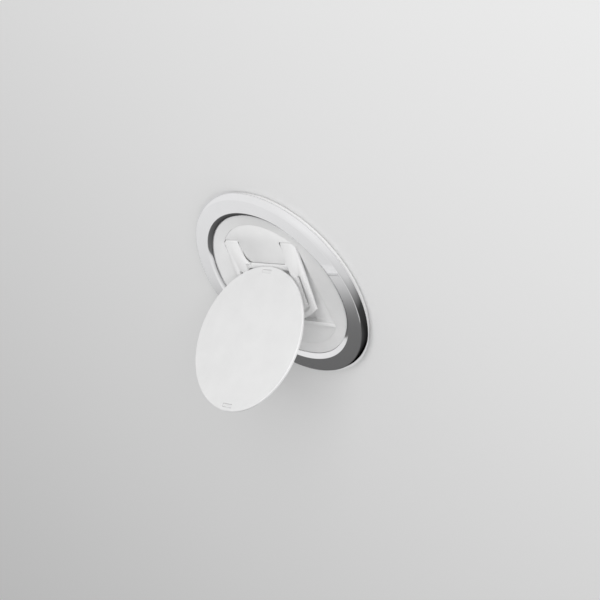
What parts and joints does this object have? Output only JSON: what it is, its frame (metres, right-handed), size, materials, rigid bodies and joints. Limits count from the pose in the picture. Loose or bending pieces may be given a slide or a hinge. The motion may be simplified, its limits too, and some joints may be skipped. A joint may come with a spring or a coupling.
{
  "type": "phone grip",
  "caption": "Flat magnetic ring base with a folding linkage in its middle that raises a tilted round disc, as a finger grip or a kickstand.",
  "frame": {"origin": "centre of the contact face, the flat soft side that goes on the phone", "axes": "+Z away from the contact face, out of the open side; +Y from the base's centre towards the swing frame's hinge; +X along the hinge pins"},
  "size_m": [0.0564, 0.0564, 0.034],
  "materials": {
    "pad": "matt soft silicone, off-white",
    "film": "clear double-sided bonding film",
    "bezel": "polished bright metal",
    "magnet": "nickel-plated",
    "shunt": "plain steel strip",
    "housing": "white, satin gloss",
    "tray": "white, satin gloss",
    "screw": "plain steel",
    "pin": "ground steel",
    "washer": "dark acetal",
    "frame": "white, satin gloss",
    "strut": "white, satin gloss",
    "bracket": "thin steel, powder-coated white",
    "rivet": "plain steel",
    "disc": "white, satin gloss"
  },
  "bodies": {
    "base": {"contact_pad": "pad", "bond_film": "film", "bezel_ring": "bezel", "ring_magnets": "magnet", "shunt_ring": "shunt", "closing_magnets": "magnet", "dish_housing": "housing", "hinge_tray": "tray", "tray_screws": "screw", "arm_pins": "pin"},
    "arm": {"swing_frame": "frame", "arm_washers": "washer", "strut_pin": "pin", "strut_washers": "washer"},
    "strut": {"strut_frame": "strut", "disc_pin": "pin", "disc_washers": "washer"},
    "disc": {"disc_bracket": "bracket", "bracket_rivets": "rivet", "disc_plate": "disc"}
  },
  "joints": [
    {"name": "arm_hinge", "type": "hinge", "parent": "base", "child": "arm", "pos_m": [0, 0.01278, 0.00145], "axis": [1, 0, 0], "range_deg": [0, 9.6]},
    {"name": "strut_hinge", "type": "hinge", "parent": "arm", "child": "strut", "pos_m": [0, -0.00529, 0.00451], "axis": [1, 0, 0], "range_deg": [-91.63, 0]},
    {"name": "disc_hinge", "type": "hinge", "parent": "strut", "child": "disc", "pos_m": [0, -0.00397, 0.01396], "axis": [1, 0, 0], "range_deg": [0, 137.26]}
  ],
  "couplings": [
    {"joint": "arm_hinge", "follows": "strut_hinge", "ratio": -0.10477},
    {"joint": "disc_hinge", "follows": "strut_hinge", "ratio": -1.498}
  ]
}
